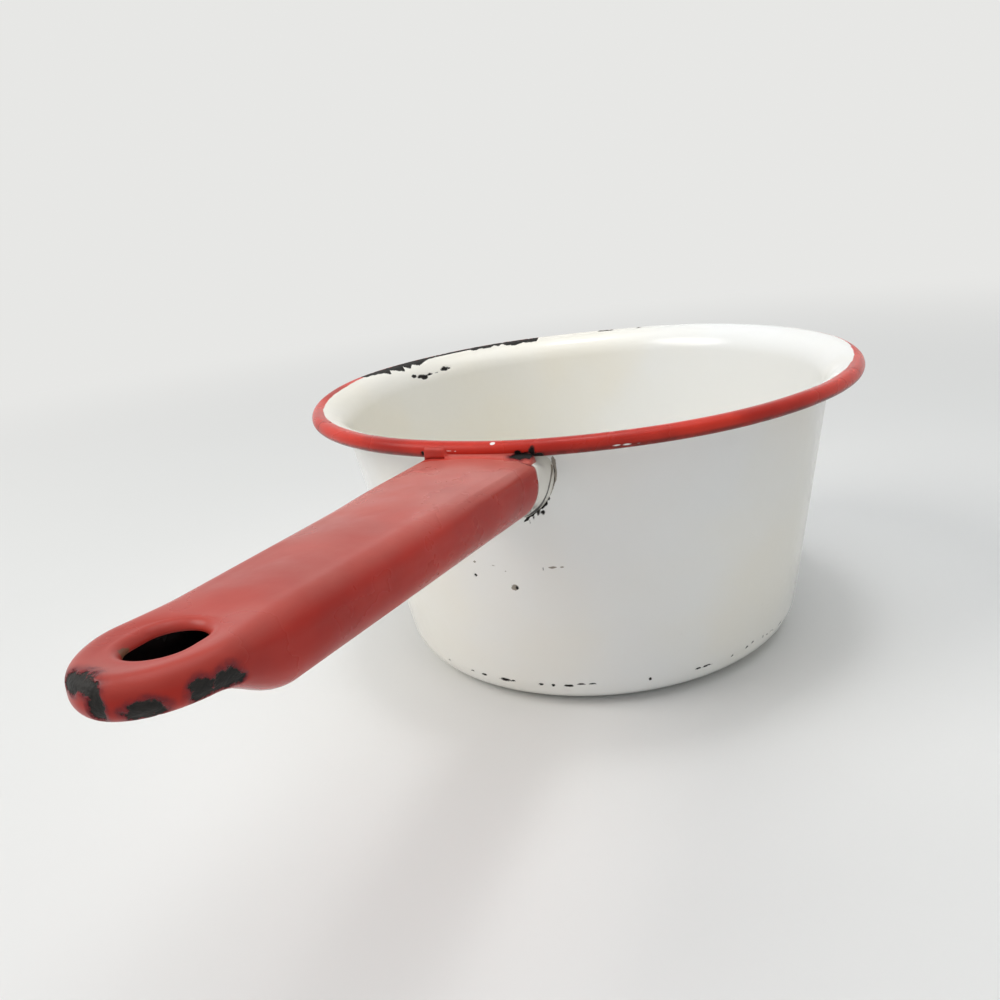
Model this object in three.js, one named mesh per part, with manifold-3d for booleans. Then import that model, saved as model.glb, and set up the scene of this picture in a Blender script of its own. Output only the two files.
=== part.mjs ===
// Enamelled steel saucepan: a deep-drawn bowl with a rolled rim, and a hollow pressed handle on a welded collar.
// Millimetres, +Z up. The origin is the middle of the flat base, and the handle points along +X.
import * as THREE from "three";
import { mergeVertices } from "three/addons/utils/BufferGeometryUtils.js";
import Module from "manifold-3d";

const wasm = await Module();
wasm.setup();

// Sheet and fits
const SHEET = 1.2; // steel with the enamel on both faces
const JOINT_GAP = 0.3; // left between neighbouring pieces

// Bowl
const PAN_HEIGHT = 90.9; // table to the top of the bead
const RIM_RADIUS = 91; // outside of the bead
const BEAD_RADIUS = 2.2; // outside of the bead's round section
const RIM_OVERHANG = 9.6; // from the wall's slope, carried up to the bead's middle, out to the rim
const FOOT_RADIUS = 67; // the wall's slope, carried down to the table
const CORNER_RADIUS = 12.2; // outside of the bend between base and wall
const LIP_RADIUS = 10; // flare between the wall and the bead, at mid sheet
const CURL_END = THREE.MathUtils.degToRad(-150); // where the rolled edge stops, tucked back towards the wall

// Handle shell, measured along the handle from its root
const HANDLE_LENGTH = 127.4;
const HANDLE_RISE = THREE.MathUtils.degToRad(3.6); // the handle climbs this much away from the bowl
const ROOT_STANDOFF = 1; // from the rim out to the shell's open end
const ROOT_BELOW_RIM = 4.1; // from the top of the bead down to the shell's shoulders at the root
const ROOT_WIDTH = 35.2;
const NOSE_WIDTH = 26.4;
const NOSE_LENGTH = 18.6; // the rounded end, seen from above
const ROOT_DEPTH = 16.4;
const GRIP_DEPTH = 14.7;
const NOSE_DEPTH = 7.3;
const HEEL_FROM_TIP = 31; // where the underside starts to step up to the thin nose
const STEP_LENGTH = 18.8;
const SHOULDER_RADIUS = 5; // top edges, at the grip
const ROOT_BELLY_RADIUS = 10.5; // bottom edges, at the root
const BELLY_RADIUS = 7.2; // bottom edges, where the grip ends
const CROWN = 0.6; // how far the top's middle stands above its shoulders along the grip
const NOSE_DISH = 0.35; // how far it lies below them round the hanging hole
const DISH_RUN = 11; // the stretch before the hole's rolled edge in which the crown sinks to the dish
const CROWN_SPREAD = 0.5; // the crowned strip's edge, as a share of the half width
const SEAM_WIDTH = 3; // open seam where the folded edges meet under the grip

// Hanging hole
const HOLE_FROM_TIP = 15.6; // to the hole's middle
const HOLE_LENGTH = 13.6;
const HOLE_WIDTH = 10.6;
const HOLE_LIP_RADIUS = 1.8; // round of the rolled-in edge

// Collar between shell and wall
const FOOT_DEPTH = 22; // depth of the collar's foot on the wall
const FOOT_WIDTH = 33;
const FOOT_BELLY_RADIUS = 16;
const SPIGOT_LENGTH = 8; // how far the collar reaches into the shell
const JOGGLE_LENGTH = 3; // step in the sheet that lets the shell sit flush

// Weld fillet under the bead
const WELD_RADIUS = 2.6; // hollow round of the fillet, from the rim out along the handle's top
const WELD_WIDTH = 33;
const LOBE_RADIUS = 2; // lump at each end of the fillet

// Facets
const AROUND_PAN = 64;
const CORNER_STEPS = 5;
const LIP_STEPS = 4;
const CURL_STEPS = 12;
const SIDE_STEPS = 22;
const NOSE_STEPS = 20;
const EDGE_STEPS = 5;
const HOLE_END_STEPS = 8;
const FOOT_STEPS = 6;
const LOBE_STEPS = 8;
const SAME_POINT = 1e-4;

const lerp = THREE.MathUtils.lerp;
const QUARTER = Math.PI / 2;

// The slope of the wall and the round stretches of the bowl's section: x is the radius, y the height
const beadCentre = new THREE.Vector2(RIM_RADIUS - BEAD_RADIUS, PAN_HEIGHT - BEAD_RADIUS);
const wallTop = new THREE.Vector2(RIM_RADIUS - RIM_OVERHANG, beadCentre.y);
const wallFoot = new THREE.Vector2(FOOT_RADIUS, 0);
const wallUp = wallTop.clone().sub(wallFoot).normalize();
const wallOut = new THREE.Vector2(wallUp.y, -wallUp.x);
const wallTilt = Math.atan2(wallUp.x, wallUp.y);
const cornerCentre = new THREE.Vector2(
  FOOT_RADIUS + CORNER_RADIUS * (Math.tan(wallTilt) - 1 / Math.cos(wallTilt)),
  CORNER_RADIUS,
);
const lipCentre = findLipCentre();
const lipEnd = Math.atan2(beadCentre.y - lipCentre.y, beadCentre.x - lipCentre.x);

// The flare touches the wall's slope and runs on into the bead without a kink.
function findLipCentre() {
  const beside = wallTop.clone().addScaledVector(wallOut, LIP_RADIUS - SHEET / 2);
  const away = beside.clone().sub(beadCentre);
  const reach = LIP_RADIUS - (BEAD_RADIUS - SHEET / 2);
  const along = away.dot(wallUp);
  const slide = -along - Math.sqrt(along ** 2 - away.lengthSq() + reach ** 2);
  return beside.addScaledVector(wallUp, slide);
}

function arc(centre, radius, from, to, steps) {
  const points = [];
  for (let i = 0; i <= steps; i++) {
    const angle = lerp(from, to, i / steps);
    points.push(new THREE.Vector2(radius, 0).rotateAround(new THREE.Vector2(), angle).add(centre));
  }
  return points;
}

// The bowl's sheet from the axis to the end of its flare, moved by offset from mid sheet to the outside.
function wallLine(offset) {
  return [
    new THREE.Vector2(0, SHEET / 2 - offset),
    ...arc(cornerCentre, CORNER_RADIUS - SHEET / 2 + offset, -QUARTER, -wallTilt, CORNER_STEPS),
    ...arc(lipCentre, LIP_RADIUS - offset, Math.PI - wallTilt, lipEnd, LIP_STEPS),
  ];
}

function curlLine(offset) {
  return arc(beadCentre, BEAD_RADIUS - SHEET / 2 - offset, lipEnd, CURL_END, CURL_STEPS).slice(1);
}

function revolve(profile) {
  return new THREE.LatheGeometry(profile, AROUND_PAN).rotateX(QUARTER);
}

// A closed geometry as a solid that can be joined and cut.
function solid(geometry) {
  geometry.deleteAttribute("normal");
  geometry.deleteAttribute("uv");
  const merged = mergeVertices(geometry, SAME_POINT);
  const corners = merged.index.array;
  const kept = [];
  for (let i = 0; i < corners.length; i += 3) {
    const [a, b, c] = corners.slice(i, i + 3);
    if (a !== b && b !== c && c !== a) kept.push(a, b, c);
  }
  const vertProperties = merged.attributes.position.array;
  return new wasm.Manifold(new wasm.Mesh({ numProp: 3, vertProperties, triVerts: new Uint32Array(kept) }));
}

function geometryOf(body) {
  const { vertProperties, triVerts } = body.getMesh();
  const geometry = new THREE.BufferGeometry();
  geometry.setAttribute("position", new THREE.BufferAttribute(vertProperties, 3));
  geometry.setIndex(new THREE.BufferAttribute(triVerts, 1));
  geometry.computeVertexNormals();
  return geometry;
}

// A skin through rings of equal count, each clockwise seen from before the first. Each ring is its own mirror
// image, so both ends are closed by strips from each point to its mirrored one.
function skin(rings) {
  const count = rings[0].length;
  const points = rings.flat();
  const corners = [];
  for (let r = 0; r + 1 < rings.length; r++) {
    for (let i = 0; i < count; i++) {
      const [a, b] = [r * count + i, r * count + ((i + 1) % count)];
      corners.push(a, b, b + count, a, b + count, a + count);
    }
  }
  const last = points.length - count;
  for (let i = 0; i < Math.floor((count - 1) / 2); i++) {
    const [near, far] = [[i, i + 1], [count - 2 - i, count - 1 - i]];
    corners.push(near[1], near[0], far[0], far[0], near[0], far[1]);
    corners.push(last + near[0], last + near[1], last + far[0], last + near[0], last + far[0], last + far[1]);
  }
  return new THREE.BufferGeometry().setFromPoints(points).setIndex(corners);
}

// The handle's own frame: x along it from the shell's open end, z = 0 at its shoulders.
const handleFrame = new THREE.Matrix4()
  .makeTranslation(RIM_RADIUS + ROOT_STANDOFF, 0, PAN_HEIGHT - ROOT_BELOW_RIM)
  .multiply(new THREE.Matrix4().makeRotationY(-HANDLE_RISE));
const heel = HANDLE_LENGTH - HEEL_FROM_TIP;
const holeMiddle = HANDLE_LENGTH - HOLE_FROM_TIP;

function handleHalfWidth(x) {
  return lerp(ROOT_WIDTH, NOSE_WIDTH, x / (HANDLE_LENGTH - NOSE_LENGTH)) / 2;
}

function handleDepth(x) {
  const grip = lerp(ROOT_DEPTH, GRIP_DEPTH, THREE.MathUtils.clamp(x / heel, 0, 1));
  return lerp(grip, NOSE_DEPTH, THREE.MathUtils.smoothstep(x, heel, heel + STEP_LENGTH));
}

function shoulderRadius(x) {
  return (SHOULDER_RADIUS * handleDepth(x)) / GRIP_DEPTH;
}

// The bottom edge's round, no larger than the side below the shoulder.
function bellyRadius(x) {
  const depth = handleDepth(x);
  const grip = lerp(ROOT_BELLY_RADIUS, BELLY_RADIUS, THREE.MathUtils.clamp(x / heel, 0, 1));
  return Math.min(grip * Math.min(1, depth / GRIP_DEPTH), depth - shoulderRadius(x));
}

function crownHeight(x) {
  const dish = holeMiddle - HOLE_LENGTH / 2 - HOLE_LIP_RADIUS;
  return lerp(CROWN, -NOSE_DISH, THREE.MathUtils.smoothstep(x, dish - DISH_RUN, dish));
}

// The shell's outline from above: out along one side, round the nose and back, with the way out at each point.
function handleOutline(start) {
  const noseStart = HANDLE_LENGTH - NOSE_LENGTH;
  const side = [];
  for (let i = 0; i < SIDE_STEPS; i++) {
    const x = lerp(start, noseStart, i / SIDE_STEPS);
    side.push({ x, y: handleHalfWidth(x), outX: 0, outY: 1 });
  }
  const nose = [];
  for (let i = 0; i <= NOSE_STEPS; i++) {
    const angle = (Math.PI * i) / NOSE_STEPS;
    const out = new THREE.Vector2(Math.sin(angle) / NOSE_LENGTH, (2 * Math.cos(angle)) / NOSE_WIDTH).normalize();
    const x = noseStart + NOSE_LENGTH * Math.sin(angle);
    nose.push({ x, y: (NOSE_WIDTH / 2) * Math.cos(angle), outX: out.x, outY: out.y });
  }
  const back = side.map((p) => ({ ...p, y: -p.y, outY: -p.outY })).reverse();
  return [...side, ...nose, ...back];
}

// The handle's rounded body, moved in by inset all over: the pressed section swept round the outline.
function handleBody(inset, start) {
  const outline = handleOutline(start);
  const ring = (inwards, drop) =>
    outline.map((p) => {
      const step = inwards(p.x);
      return new THREE.Vector3(p.x - p.outX * step, p.y - p.outY * step, -drop(p.x));
    });
  const shoulder = (x) => shoulderRadius(x) - inset;
  const belly = (x) => bellyRadius(x) - inset;
  const rings = [ring(() => (CROWN_SPREAD * NOSE_WIDTH) / 2, (x) => inset - crownHeight(x))];
  for (let i = 0; i <= EDGE_STEPS; i++) {
    const [across, down] = [Math.sin((QUARTER * i) / EDGE_STEPS), Math.cos((QUARTER * i) / EDGE_STEPS)];
    rings.push(ring((x) => inset + shoulder(x) * (1 - across), (x) => inset + shoulder(x) * (1 - down)));
  }
  for (let i = 0; i <= EDGE_STEPS; i++) {
    const [across, down] = [Math.cos((QUARTER * i) / EDGE_STEPS), Math.sin((QUARTER * i) / EDGE_STEPS)];
    const drop = (x) => handleDepth(x) - inset - belly(x) * (1 - down);
    rings.push(ring((x) => inset + belly(x) * (1 - across), drop));
  }
  return solid(skin(rings));
}

// The hanging hole's outline, grown by grow, at height z of the handle's frame.
function holeRing(grow, z) {
  const straight = (HOLE_LENGTH - HOLE_WIDTH) / 2;
  const radius = HOLE_WIDTH / 2 + grow;
  const far = arc(new THREE.Vector2(holeMiddle + straight, 0), radius, QUARTER, -QUARTER, HOLE_END_STEPS);
  const near = arc(new THREE.Vector2(holeMiddle - straight, 0), radius, -QUARTER, -3 * QUARTER, HOLE_END_STEPS);
  return [...far, ...near].map((p) => new THREE.Vector3(p.x, p.y, z));
}

function holeCutter() {
  const rings = [holeRing(HOLE_LIP_RADIUS, CROWN + SHEET)];
  for (let i = 0; i <= EDGE_STEPS; i++) {
    const angle = (QUARTER * i) / EDGE_STEPS;
    const z = -NOSE_DISH - HOLE_LIP_RADIUS * (1 - Math.cos(angle));
    rings.push(holeRing(HOLE_LIP_RADIUS * (1 - Math.sin(angle)), z));
  }
  rings.push(holeRing(0, -ROOT_DEPTH));
  return solid(skin(rings));
}

function seamCutter() {
  const length = heel + SHEET;
  const box = new THREE.BoxGeometry(length, SEAM_WIDTH, GRIP_DEPTH);
  return solid(box.translate(length / 2 - SHEET, 0, -ROOT_DEPTH));
}

// One section of the collar, x along the handle: the shell's own section, which deepens and rounds off towards
// the collar's foot on the wall.
function collarRing(x, inset) {
  const spread = THREE.MathUtils.clamp(-x / collarRun, 0, 1);
  const shellX = Math.max(x, 0);
  const half = lerp(handleHalfWidth(shellX), FOOT_WIDTH / 2, spread);
  const depth = lerp(handleDepth(shellX), FOOT_DEPTH, spread ** 2);
  const top = shoulderRadius(shellX);
  const bottom = Math.min(lerp(bellyRadius(shellX), FOOT_BELLY_RADIUS, spread), half, depth - top);
  const centres = [
    new THREE.Vector2(half - top, -top),
    new THREE.Vector2(half - bottom, bottom - depth),
    new THREE.Vector2(bottom - half, bottom - depth),
    new THREE.Vector2(top - half, -top),
  ];
  const radii = [top, bottom, bottom, top].map((radius) => radius - inset);
  const section = centres.flatMap((c, i) => arc(c, radii[i], QUARTER * (1 - i), -QUARTER * i, EDGE_STEPS));
  return section.map((p) => new THREE.Vector3(x, p.x, p.y));
}

// Long enough for the foot to run right into the sloping wall, which then trims it
const collarRun = RIM_OVERHANG + ROOT_STANDOFF + 2 * FOOT_DEPTH * Math.tan(wallTilt);

function collarBody(from, to, inset) {
  const rings = [];
  for (let i = 0; i <= FOOT_STEPS; i++) rings.push(collarRing(lerp(to, from, i / FOOT_STEPS), inset));
  return solid(skin(rings));
}

// Everything inside the bowl's outside, grown by gap: what fits against the bowl is cut by it.
function panEnvelope(gap) {
  const line = wallLine(SHEET / 2 + gap);
  const bowl = solid(revolve([...line, new THREE.Vector2(0, line.at(-1).y)]));
  const bead = solid(revolve(arc(beadCentre, BEAD_RADIUS + gap, 0, 4 * QUARTER, 2 * CURL_STEPS)));
  return bowl.add(bead);
}

function panBody() {
  const outside = [...wallLine(SHEET / 2), ...curlLine(SHEET / 2)];
  const inside = [...wallLine(-SHEET / 2), ...curlLine(-SHEET / 2)];
  return solid(revolve([...outside, ...inside.reverse()]));
}

function handleShell() {
  const lipTop = -NOSE_DISH - SHEET / 2;
  const lipEdge = -NOSE_DISH - HOLE_LIP_RADIUS;
  const lip = solid(skin([holeRing(HOLE_LIP_RADIUS, lipTop), holeRing(HOLE_LIP_RADIUS, lipEdge)]));
  return handleBody(0, 0)
    .subtract(handleBody(SHEET, -SHEET))
    .add(lip)
    .subtract(seamCutter())
    .subtract(holeCutter());
}

function handleCollar() {
  const spigotInset = SHEET + JOINT_GAP;
  const hollowInset = spigotInset + SHEET;
  return collarBody(-collarRun, -JOINT_GAP, 0)
    .add(collarBody(-JOGGLE_LENGTH, SPIGOT_LENGTH, spigotInset))
    .subtract(collarBody(-collarRun - SHEET, -JOGGLE_LENGTH, SHEET))
    .subtract(collarBody(-collarRun, SPIGOT_LENGTH + SHEET, hollowInset))
    .transform(handleFrame.elements)
    .subtract(panEnvelope(JOINT_GAP));
}

function rimWeld() {
  const seat = PAN_HEIGHT - ROOT_BELOW_RIM;
  const toe = RIM_RADIUS + WELD_RADIUS;
  const head = seat + WELD_RADIUS;
  const fillet = revolve([
    new THREE.Vector2(beadCentre.x, seat),
    ...arc(new THREE.Vector2(toe, head), WELD_RADIUS, -QUARTER, -2 * QUARTER, EDGE_STEPS),
    new THREE.Vector2(beadCentre.x, head),
    new THREE.Vector2(beadCentre.x, seat),
  ]);
  const stretch = new THREE.BoxGeometry(2 * toe, WELD_WIDTH, PAN_HEIGHT).translate(toe, 0, PAN_HEIGHT);
  let weld = solid(fillet).intersect(solid(stretch));
  for (const side of [-1, 1]) {
    const lobe = new THREE.SphereGeometry(LOBE_RADIUS, LOBE_STEPS, LOBE_STEPS);
    lobe.translate(RIM_RADIUS + ROOT_STANDOFF, (side * WELD_WIDTH) / 2 - side * LOBE_RADIUS, seat + LOBE_RADIUS / 2);
    weld = weld.add(solid(lobe));
  }
  const seats = handleBody(-JOINT_GAP, -JOINT_GAP).add(collarBody(-collarRun, 0, -JOINT_GAP));
  return weld.subtract(panEnvelope(JOINT_GAP)).subtract(seats.transform(handleFrame.elements));
}

function piece(name, geometry, color, roughness) {
  const mesh = new THREE.Mesh(geometry, new THREE.MeshStandardMaterial({ color, roughness, metalness: 0 }));
  mesh.name = name;
  return mesh;
}

const WHITE_ENAMEL = 0xeeebe2;
const RED_ENAMEL = 0xb83a2e;
const GLOSSY = 0.18;
const WORN_GLOSS = 0.35;

const shell = piece("handle_shell", geometryOf(handleShell()), RED_ENAMEL, WORN_GLOSS);
shell.applyMatrix4(handleFrame);

const saucepan = new THREE.Group();
saucepan.add(
  piece("pan_body", geometryOf(panBody()), WHITE_ENAMEL, GLOSSY),
  piece("handle_collar", geometryOf(handleCollar()), WHITE_ENAMEL, GLOSSY),
  shell,
  piece("rim_weld", geometryOf(rimWeld()), RED_ENAMEL, WORN_GLOSS),
);

export default saucepan;
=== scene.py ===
import math

import bmesh
import bpy
import numpy as np
from mathutils import Matrix, Vector


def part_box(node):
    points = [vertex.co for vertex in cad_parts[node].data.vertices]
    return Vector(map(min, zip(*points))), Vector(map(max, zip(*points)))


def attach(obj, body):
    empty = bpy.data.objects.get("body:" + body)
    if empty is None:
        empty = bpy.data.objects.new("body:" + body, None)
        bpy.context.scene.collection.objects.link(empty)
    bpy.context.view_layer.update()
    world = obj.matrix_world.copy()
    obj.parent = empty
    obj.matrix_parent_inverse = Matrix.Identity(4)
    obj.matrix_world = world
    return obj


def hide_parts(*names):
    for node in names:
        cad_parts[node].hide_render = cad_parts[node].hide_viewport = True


# An old enamelled saucepan: white bowl, red rolled rim and red pressed handle, chipped to the iron
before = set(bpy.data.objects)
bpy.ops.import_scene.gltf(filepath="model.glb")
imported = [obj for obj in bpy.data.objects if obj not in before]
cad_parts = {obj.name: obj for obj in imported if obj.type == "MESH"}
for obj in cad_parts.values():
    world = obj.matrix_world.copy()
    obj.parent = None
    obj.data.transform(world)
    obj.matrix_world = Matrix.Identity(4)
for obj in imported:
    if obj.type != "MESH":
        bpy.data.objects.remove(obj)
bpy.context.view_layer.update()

# Sizes in millimetres
MM = 0.001
RIM_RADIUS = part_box("pan_body")[1].x / MM
PAN_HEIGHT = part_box("pan_body")[1].z / MM
SHEET = 1.2

BEAD_RADIUS = 2.2
RIM_OVERHANG = 9.6
FOOT_RADIUS = 67.0
CORNER_RADIUS = 12.2
LIP_RADIUS = 10.0
CURL_END = math.radians(-150)
AXIS_GAP = 1.0  # radius of the flat face that closes the base

HANDLE_LENGTH = 127.4
HANDLE_RISE = math.radians(3.6)
ROOT_STANDOFF = 1.0
ROOT_BELOW_RIM = 4.1
ROOT_WIDTH = 35.2
NOSE_WIDTH = 26.4
NOSE_LENGTH = 18.6
ROOT_DEPTH = 16.4
GRIP_DEPTH = 14.7
NOSE_DEPTH = 7.3
HEEL_FROM_TIP = 31.0
STEP_LENGTH = 18.8
SHOULDER_RADIUS = 5.0
ROOT_BELLY_RADIUS = 10.5
BELLY_RADIUS = 7.2
CROWN = 0.6
NOSE_DISH = 0.35
DISH_RUN = 11.0
SEAM_WIDTH = 3.0

# The shoulder is creased near the root and runs out into a smooth round along the grip
CREASE_SHARES = (0, 0.5, 0.78, 1)
CREASE_INWARDS = (1, 0.42, 0.06, 0)
CREASE_DOWN = (0, 0.09, 0.36, 1)
CREASE_FADE_START = 25.0
CREASE_FADE_END = 60.0

HOLE_FROM_TIP = 15.6
HOLE_LENGTH = 13.6
HOLE_WIDTH = 10.6
HOLE_LIP_RADIUS = 1.8

FOOT_DEPTH = 22.0
FOOT_WIDTH = 33.0
FOOT_BELLY_RADIUS = 16.0

# Weld between the handle's top and the bead: a low hollow fillet with an upright tab at one end
WELD_SPAN = (-15.2, 16.2)
TAB_SPAN = (-14.8, -8.2)
TAB_PROUD = 0.3
TAB_HEAD = math.radians(38)
FILLET_HEAD = math.radians(-14)
FILLET_OVER_SHELL = 0.9

# Wear: how deep a chip is, and the values of the chip field between which its edge drops
CHIP_DEPTH = 0.32
CHIP_SLOPE = (0.44, 0.60)

# Finishes, as linear colours
WHITE = (0.87, 0.875, 0.86, 1)
CREAM = (0.88, 0.84, 0.735, 1)
RED = (0.47, 0.026, 0.015, 1)
# Painted light: the rim's red is the handle's red made lighter, as if lit from the front
LIT_RIM_RED = (0.60, 0.036, 0.019, 1)
DEEP_RED = (0.37, 0.018, 0.011, 1)
# Pale pink of the painted sheen on the handle's top, which also stands for the chalky look of handling
SHEEN_RED = (0.58, 0.22, 0.18, 1)
IRON = (0.009, 0.008, 0.007, 1)
RAW_IRON = (0.018, 0.016, 0.014, 1)
GROUND_COAT = (0.027, 0.023, 0.020, 1)
MAROON = (0.15, 0.016, 0.022, 1)
RUST = (0.15, 0.105, 0.055, 1)
# Painted shade: the dark red-brown that the bead's underside is darkened towards
UNDER_BEAD_SHADE = (0.075, 0.012, 0.009, 1)
COOKED = (0.58, 0.56, 0.51, 1)
SCUFFED = (0.42, 0.40, 0.37, 1)
RUBBED_RED = (0.53, 0.065, 0.048, 1)
SHELL_INSIDE = (0.028, 0.022, 0.022, 1)
WHITE_GLOSS = 0.5
RED_GLOSS = 0.2
IRON_GLOSS = 0.14
WHITE_ROUGHNESS = 0.16
RED_ROUGHNESS = 0.30
IRON_ROUGHNESS = 0.55
BUMP_DISTANCE = 0.0004
# Values of the chip field where the glass begins to darken towards a chip
WHITE_FRINGE_START = 0.28
RED_FRINGE_START = 0.10


def lerp(start, end, share):
    return start + (end - start) * share


def smoothstep(value, start, end):
    share = np.clip((value - start) / (end - start), 0, 1)
    return share * share * (3 - 2 * share)


def arc(centre, radius, start, end, steps):
    angle = np.linspace(start, end, steps + 1)
    return np.stack([centre[0] + radius * np.cos(angle), centre[1] + radius * np.sin(angle)], axis=1)


def straight(start, end, steps):
    share = np.linspace(0, 1, steps + 1)[:, None]
    return np.asarray(start) * (1 - share) + np.asarray(end) * share


def ripple(points, wavelength, seed):
    """Smooth noise at points in millimetres, mostly from -1 to 1: waves that run in all directions."""
    waves = 14
    draw = np.random.default_rng(seed)
    total = np.zeros(points.shape[:-1])
    for _ in range(waves):
        way = draw.normal(size=3)
        way *= 2 * math.pi / (np.linalg.norm(way) * wavelength * draw.uniform(0.6, 1.5))
        total += np.sin(points @ way + draw.uniform(0, 2 * math.pi))
    return total / math.sqrt(2 * waves)


def spot(distance):
    """A paint field round a spot: 1 in its middle, 0.5 at its edge (distance 1), 0 at twice that."""
    return np.clip(1 - distance / 2, 0, 1)


def frayed(chip, points, wavelength, amount, seed):
    """A chip field whose edge wanders."""
    return chip + ripple(points, wavelength, seed) * amount * smoothstep(chip, 0.1, 0.4)


# The bowl's section: x is the radius, y the height
bead_centre = np.array([RIM_RADIUS - BEAD_RADIUS, PAN_HEIGHT - BEAD_RADIUS])
wall_foot = np.array([FOOT_RADIUS, 0.0])
wall_top = np.array([RIM_RADIUS - RIM_OVERHANG, bead_centre[1]])
wall_up = (wall_top - wall_foot) / np.linalg.norm(wall_top - wall_foot)
wall_out = np.array([wall_up[1], -wall_up[0]])
wall_tilt = math.atan2(wall_up[0], wall_up[1])
corner_centre = np.array([
    FOOT_RADIUS + CORNER_RADIUS * (math.tan(wall_tilt) - 1 / math.cos(wall_tilt)),
    CORNER_RADIUS,
])


def find_lip_centre():
    """The flare touches the wall's slope and runs on into the bead without a kink."""
    beside = wall_top + wall_out * (LIP_RADIUS - SHEET / 2)
    away = beside - bead_centre
    reach = LIP_RADIUS - (BEAD_RADIUS - SHEET / 2)
    along = away @ wall_up
    slide = -along - math.sqrt(along ** 2 - away @ away + reach ** 2)
    return beside + wall_up * slide


lip_centre = find_lip_centre()
lip_end = math.atan2(bead_centre[1] - lip_centre[1], bead_centre[0] - lip_centre[0])


def wall_line(offset, base_steps, corner_steps, side_steps, lip_steps):
    """The sheet from near the axis to the end of its flare, moved outwards by offset from mid sheet."""
    corner = arc(corner_centre, CORNER_RADIUS - SHEET / 2 + offset, -math.pi / 2, -wall_tilt, corner_steps)
    lip = arc(lip_centre, LIP_RADIUS - offset, math.pi - wall_tilt, lip_end, lip_steps)
    base = straight((AXIS_GAP, SHEET / 2 - offset), corner[0], base_steps)
    side = straight(corner[-1], lip[0], side_steps)
    return np.concatenate([base[:-1], corner, side[1:-1], lip])


def curl_line(offset, steps):
    return arc(bead_centre, BEAD_RADIUS - SHEET / 2 - offset, lip_end, CURL_END, steps)[1:]


def outer_wall_radius(z):
    """The bowl's outside at a height, up to the flare."""
    line = wall_line(SHEET / 2, 2, 12, 4, 12)
    return np.interp(z, np.maximum.accumulate(line[:, 1]), line[:, 0])


# Mesh making
def grid_faces(rows, columns, wrap):
    faces = []
    for row in range(rows - 1):
        for column in range(columns if wrap else columns - 1):
            after = (column + 1) % columns
            faces.append((row * columns + column, row * columns + after,
                          (row + 1) * columns + after, (row + 1) * columns + column))
    return faces


def capped_faces(rows, columns):
    """A tube of rings, closed at both ends."""
    first = tuple(range(columns))
    last = tuple(range((rows - 1) * columns, rows * columns))
    return grid_faces(rows, columns, True) + [first[::-1], last]


def joined(points, faces):
    """The faces with points that lie on each other taken as one."""
    seen = {}
    same = [seen.setdefault(tuple(np.round(point, 3) + 0.0), index) for index, point in enumerate(points)]
    kept = []
    for face in faces:
        corners = list(dict.fromkeys(same[index] for index in face))
        if len(corners) > 2:
            kept.append(tuple(corners))
    return kept


def open_edges(faces):
    """The edges that only one face has, each in that face's own direction."""
    edges = set()
    for face in faces:
        edges.update(zip(face, face[1:] + face[:1]))
    return [(start, end) for start, end in edges if (end, start) not in edges]


def sheet_faces(outer, faces):
    """A closed sheet from its outer skin; the inner skin's points follow in the same order."""
    skin = joined(outer, faces)
    behind = len(outer)
    inner = [tuple(index + behind for index in face[::-1]) for face in skin]
    edge = [(end, start, start + behind, end + behind) for start, end in sorted(open_edges(skin))]
    return skin + inner + edge


def new_piece(name, points, faces, node, material, fields):
    """A smooth mesh in metres that stands for a node, with its paint fields stored at the points."""
    used = np.unique(np.concatenate([np.asarray(face) for face in faces]))
    place = np.full(len(points), -1)
    place[used] = np.arange(len(used))
    mesh = bpy.data.meshes.new(name)
    corners = (np.asarray(points)[used] * MM).tolist()
    mesh.from_pydata(corners, [], [place[list(face)].tolist() for face in faces])
    turn_out(mesh)
    mesh.polygons.foreach_set("use_smooth", [True] * len(mesh.polygons))
    sink_chips(mesh, np.asarray(fields["chip"])[used])
    for field, values in fields.items():
        layer = mesh.attributes.new(field, "FLOAT", "POINT")
        layer.data.foreach_set("value", np.asarray(values, dtype=np.float32)[used])
    mesh.materials.append(material)
    piece = bpy.data.objects.new(name, mesh)
    bpy.context.scene.collection.objects.link(piece)
    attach(piece, "root")
    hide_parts(node)
    return piece


def turn_out(mesh):
    """Turns all faces outwards."""
    shape = bmesh.new()
    shape.from_mesh(mesh)
    bmesh.ops.recalc_face_normals(shape, faces=shape.faces)
    shape.to_mesh(mesh)
    shape.free()


def sink_chips(mesh, chip):
    """Lowers the bared places by the enamel's thickness."""
    normals = np.zeros(3 * len(mesh.vertices))
    mesh.vertex_normals.foreach_get("vector", normals)
    places = np.zeros(3 * len(mesh.vertices))
    mesh.vertices.foreach_get("co", places)
    sunk = CHIP_DEPTH * MM * smoothstep(chip, *CHIP_SLOPE)
    places -= normals * np.repeat(sunk, 3)
    mesh.vertices.foreach_set("co", places)
    mesh.update()


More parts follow.
